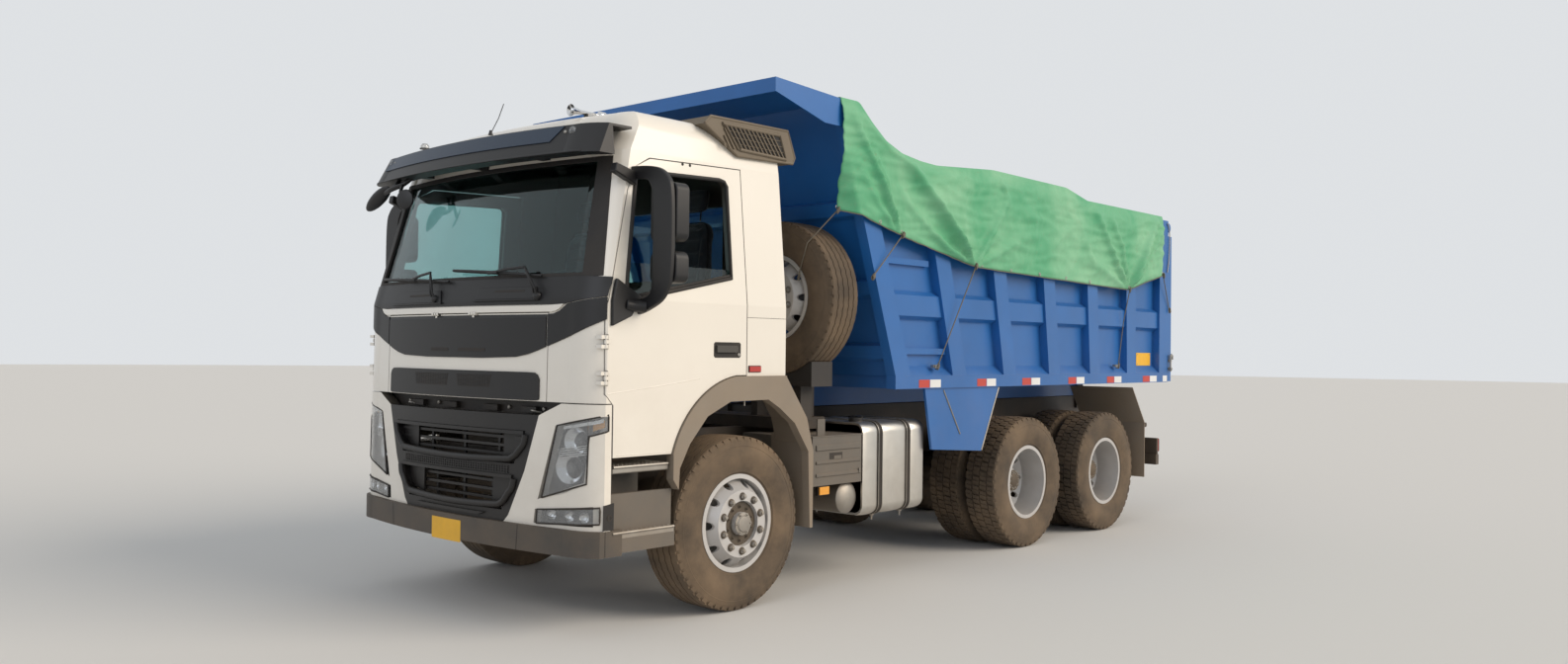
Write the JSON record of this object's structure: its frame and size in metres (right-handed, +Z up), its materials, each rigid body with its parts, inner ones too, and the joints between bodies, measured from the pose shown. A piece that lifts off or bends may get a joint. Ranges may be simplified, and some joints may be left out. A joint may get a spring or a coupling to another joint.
{
  "type": "dump truck",
  "caption": "Forward-control tipper truck with a day cab, ribbed steel body under a cover sheet, cab canopy, spare wheel and twin-tyred drive axles.",
  "frame": {"origin": "on the ground under the middle of the overall length and width", "axes": "+X forward, +Y to the truck's left, +Z up"},
  "size_m": [7.3698, 3.03, 3.3298],
  "materials": {
    "cab_paint": "gloss",
    "chassis_paint": "satin",
    "black_plastic": "matte",
    "grey_plastic": "matte",
    "intake_plastic": "matte",
    "lamp_clear": "gloss",
    "lamp_red": "gloss",
    "tank_metal": "polished",
    "strap_steel": "satin",
    "tyre_rubber": "matte",
    "rim_paint": "satin",
    "body_paint": "gloss",
    "cover_fabric": "matte",
    "window_glass": "gloss",
    "seat_fabric": "matte",
    "engine_iron": "matte",
    "rod_chrome": "polished"
  },
  "bodies": {
    "chassis": {"frame": "chassis_paint", "subframe": "chassis_paint", "engine": "engine_iron", "front_axle": "chassis_paint", "drive_axles": "chassis_paint", "bumper": "grey_plastic", "grille": "black_plastic", "lamp_panels": "cab_paint", "headlamps": "lamp_clear", "steps": "grey_plastic", "mudguards": "grey_plastic", "fuel_tank": "tank_metal", "tank_straps": "strap_steel", "side_boxes": "grey_plastic", "spare_tyre": "tyre_rubber", "spare_rim": "rim_paint", "spare_carrier": "chassis_paint", "rear_bar": "chassis_paint", "tail_lamps": "lamp_red", "cab_shell": "cab_paint", "cab_roof": "cab_paint", "cab_glass": "window_glass", "sun_visor": "black_plastic", "air_intake": "intake_plastic", "dashboard": "black_plastic", "seats": "seat_fabric"},
    "tipper": {"body_floor": "body_paint", "body_side_left": "body_paint", "body_side_right": "body_paint", "body_front": "body_paint", "tarp": "cover_fabric"},
    "tailgate": {"tailgate": "body_paint"},
    "front_hatch": {"front_hatch": "cab_paint"},
    "hoist_barrel": {"hoist_barrel": "chassis_paint"},
    "hoist_stage": {"hoist_stage": "rod_chrome"},
    "hoist_rod": {"hoist_rod": "rod_chrome"},
    "knuckle_left": {"knuckle_left": "chassis_paint"},
    "wheel_front_left": {"tyre_front_left": "tyre_rubber", "rim_front_left": "rim_paint"},
    "wheels_mid_left": {"tyres_mid_left": "tyre_rubber", "rims_mid_left": "rim_paint"},
    "wheels_rear_left": {"tyres_rear_left": "tyre_rubber", "rims_rear_left": "rim_paint"},
    "door_left": {"door_left": "cab_paint", "door_glass_left": "window_glass", "mirror_left": "black_plastic"},
    "knuckle_right": {"knuckle_right": "chassis_paint"},
    "wheel_front_right": {"tyre_front_right": "tyre_rubber", "rim_front_right": "rim_paint"},
    "wheels_mid_right": {"tyres_mid_right": "tyre_rubber", "rims_mid_right": "rim_paint"},
    "wheels_rear_right": {"tyres_rear_right": "tyre_rubber", "rims_rear_right": "rim_paint"},
    "door_right": {"door_right": "cab_paint", "door_glass_right": "window_glass", "mirror_right": "black_plastic"}
  },
  "joints": [
    {"name": "steer_left", "type": "hinge", "parent": "chassis", "child": "knuckle_left", "pos_m": [2.395, 0.925, 0.538], "axis": [0, 0, 1], "range_deg": [-38, 38]},
    {"name": "wheel_front_left_spin", "type": "hinge", "parent": "knuckle_left", "child": "wheel_front_left", "pos_m": [2.395, 1.072, 0.538], "axis": [0, 1, 0], "continuous": true},
    {"name": "wheels_mid_left_spin", "type": "hinge", "parent": "chassis", "child": "wheels_mid_left", "pos_m": [-1.045, 0.903, 0.538], "axis": [0, 1, 0], "continuous": true},
    {"name": "wheels_rear_left_spin", "type": "hinge", "parent": "chassis", "child": "wheels_rear_left", "pos_m": [-2.415, 0.903, 0.538], "axis": [0, 1, 0], "continuous": true},
    {"name": "door_left_hinge", "type": "hinge", "parent": "chassis", "child": "door_left", "pos_m": [3.483, 1.235, 1.54], "axis": [0, 0, -1], "range_deg": [0, 75]},
    {"name": "steer_right", "type": "hinge", "parent": "chassis", "child": "knuckle_right", "pos_m": [2.395, -0.925, 0.538], "axis": [0, 0, 1], "range_deg": [-38, 38]},
    {"name": "wheel_front_right_spin", "type": "hinge", "parent": "knuckle_right", "child": "wheel_front_right", "pos_m": [2.395, -1.072, 0.538], "axis": [0, 1, 0], "continuous": true},
    {"name": "wheels_mid_right_spin", "type": "hinge", "parent": "chassis", "child": "wheels_mid_right", "pos_m": [-1.045, -0.903, 0.538], "axis": [0, 1, 0], "continuous": true},
    {"name": "wheels_rear_right_spin", "type": "hinge", "parent": "chassis", "child": "wheels_rear_right", "pos_m": [-2.415, -0.903, 0.538], "axis": [0, 1, 0], "continuous": true},
    {"name": "door_right_hinge", "type": "hinge", "parent": "chassis", "child": "door_right", "pos_m": [3.483, -1.235, 1.54], "axis": [0, 0, 1], "range_deg": [0, 75]},
    {"name": "front_hatch_hinge", "type": "hinge", "parent": "chassis", "child": "front_hatch", "pos_m": [3.649, 0, 1.803], "axis": [0, -1, 0], "range_deg": [0, 60]},
    {"name": "tip", "type": "hinge", "parent": "chassis", "child": "tipper", "pos_m": [-3.355, 0, 1.265], "axis": [0, -1, 0], "range_deg": [0, 50]},
    {"name": "tailgate_hinge", "type": "hinge", "parent": "tipper", "child": "tailgate", "pos_m": [-3.635, 0, 2.865], "axis": [0, 1, 0], "range_deg": [0, 60]},
    {"name": "hoist_swing", "type": "hinge", "parent": "chassis", "child": "hoist_barrel", "pos_m": [-2.205, 0, 0.78], "axis": [0, -1, 0], "range_deg": [0, 55.11]},
    {"name": "hoist_stage_slide", "type": "slide", "parent": "hoist_barrel", "child": "hoist_stage", "axis": [0.8432, 0, 0.5376], "range_m": [0, 0.5245]},
    {"name": "hoist_rod_slide", "type": "slide", "parent": "hoist_stage", "child": "hoist_rod", "axis": [0.8432, 0, 0.5376], "range_m": [0, 0.5245]}
  ],
  "couplings": [
    {"joint": "steer_right", "follows": "steer_left", "ratio": 1},
    {"joint": "hoist_swing", "follows": "tip", "ratio": 1.1013},
    {"joint": "hoist_stage_slide", "follows": "tip", "m_per_rad": 0.6004},
    {"joint": "hoist_rod_slide", "follows": "tip", "m_per_rad": 0.6004}
  ]
}
